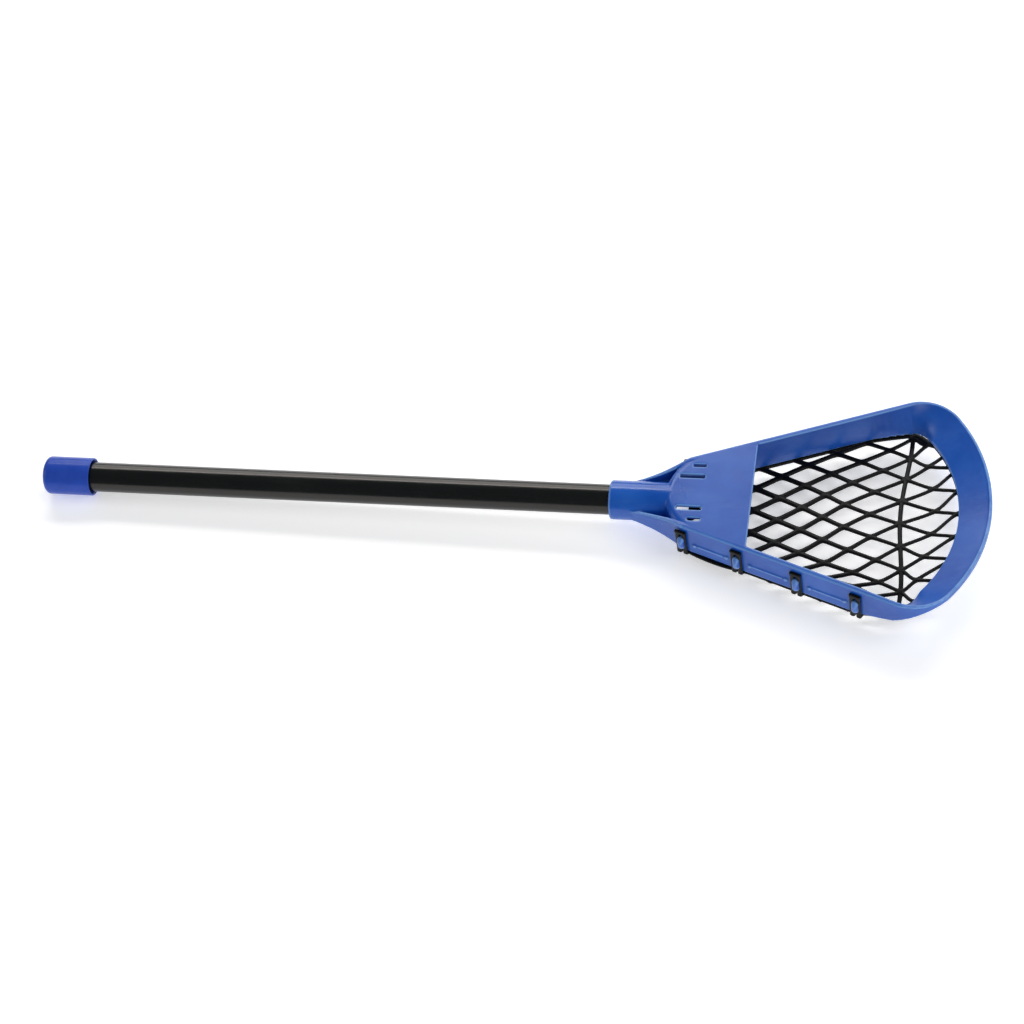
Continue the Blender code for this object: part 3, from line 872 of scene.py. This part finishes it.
def screw_steel():
    s = Surface("screw_steel", (0.60, 0.60, 0.61), 0.30, 1.0)
    turned = s.noise(1500.0, 3.0)
    colour = s.blended(s.ramp(turned, 0.3, 0.7), (0.52, 0.52, 0.53), (0.66, 0.66, 0.66))
    roughness = s.ramp(s.noise(2600.0, 3.0), 0.3, 0.7, 0.24, 0.42)
    return s.finish(colour, roughness, s.bump(turned, 0.00003, 0.4))


def floor_white():
    """A plain white table, evenly lit through from below."""
    s = Surface("floor_white", (0.94, 0.94, 0.945), 0.65)
    colour = s.blended(s.ramp(s.noise(3.0, 3.0), 0.3, 0.7), (0.935, 0.937, 0.945), (0.950, 0.950, 0.953))
    s.shader.inputs["Emission Color"].default_value = (1.0, 1.0, 1.0, 1.0)
    s.shader.inputs["Emission Strength"].default_value = FLOOR_LIGHT
    return s.finish(colour, None, s.bump(s.noise(260.0, 3.0), 0.0003, 0.15))


# ---------------------------------------------------------------- stage

def add_floor():
    bm = bmesh.new()
    bmesh.ops.create_grid(bm, x_segments=8, y_segments=8, size=6.0)
    floor = object_from("floor", bm)
    floor.location = (0.0, 0.0, FLOOR_Z)
    floor.rotation_euler = (0.0, FLOOR_PITCH, 0.0)
    floor.data.materials.append(floor_white())


def add_aimed(name, data, place, target, roll=0.0):
    """A light or camera that looks from one point at another, turned about its own line of sight."""
    made = bpy.data.objects.new(name, data)
    bpy.context.scene.collection.objects.link(made)
    made.location = place
    aim = (Vector(target) - Vector(place)).to_track_quat("-Z", "Y")
    made.rotation_mode = "QUATERNION"
    made.rotation_quaternion = aim @ Quaternion((0.0, 0.0, 1.0), roll)
    return made


def add_area(name, place, target, size, power, colour=(1.0, 1.0, 1.0)):
    light = bpy.data.lights.new(name, "AREA")
    light.shape = "RECTANGLE"
    light.size, light.size_y = size
    light.energy = power
    light.color = colour
    add_aimed(name, light, place, target)


def add_lights():
    """A wide soft bank and a strip behind, weaker lamps from the ends and the front, and a dim room."""
    middle = (0.42, 0.0, 0.0)
    add_area("back_bank", (0.45, 1.85, 1.15), middle, (2.7, 1.5), 32.0, (1.0, 0.99, 0.975))
    add_area("back_strip", (0.3, 1.65, 1.80), middle, (3.0, 0.30), 14.0, (1.0, 0.99, 0.975))
    add_area("left_lamp", (-1.65, -0.45, 1.05), middle, (1.2, 1.0), 8.0, (0.99, 0.995, 1.0))
    add_area("right_lamp", (1.95, -0.15, 1.70), middle, (1.3, 1.2), 16.0)
    add_area("front_lamp", (1.45, -2.00, 0.80), (0.62, 0.0, 0.0), (1.3, 0.9), 15.0, (0.98, 0.99, 1.0))
    world = bpy.data.worlds.new("studio")
    world.use_nodes = True
    background = world.node_tree.nodes["Background"]
    background.inputs["Color"].default_value = (0.93, 0.95, 1.0, 1.0)
    background.inputs["Strength"].default_value = 0.12
    bpy.context.scene.world = world


def add_camera():
    """The camera stands off the near side of the head, looking down on its open face."""
    camera = bpy.data.cameras.new("camera")
    camera.sensor_width = SENSOR
    camera.lens = LENS
    camera.clip_start, camera.clip_end = 0.05, 60.0
    bpy.context.scene.camera = add_aimed("camera", camera, CAMERA_PLACE, CAMERA_TARGET, CAMERA_ROLL)


# ---------------------------------------------------------------- the whole scene

def place(obj, surface, body, slot, node):
    """Give a piece its material, attach it to the body it rides on, and hide the CAD node it stands for."""
    obj.data.materials.clear()
    obj.data.materials.append(surface)
    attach(obj, body)
    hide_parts(node)


def main():
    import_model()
    place(build_shaft(), shaft_coating(), "stick", "shaft_black", "shaft_tube")
    place(build_cap(), cap_vinyl(), "cap", "cap_blue", "end_cap")
    place(build_head(), head_plastic(), "stick", "head_blue", "head_frame")
    place(build_screw(), screw_steel(), "stick", "screw_steel", "head_screw")
    place(build_net(), net_plastic(), "stick", "net_black", "pocket_net")
    add_floor()
    add_lights()
    add_camera()
    bpy.context.scene.view_settings.view_transform = "Standard"


main()
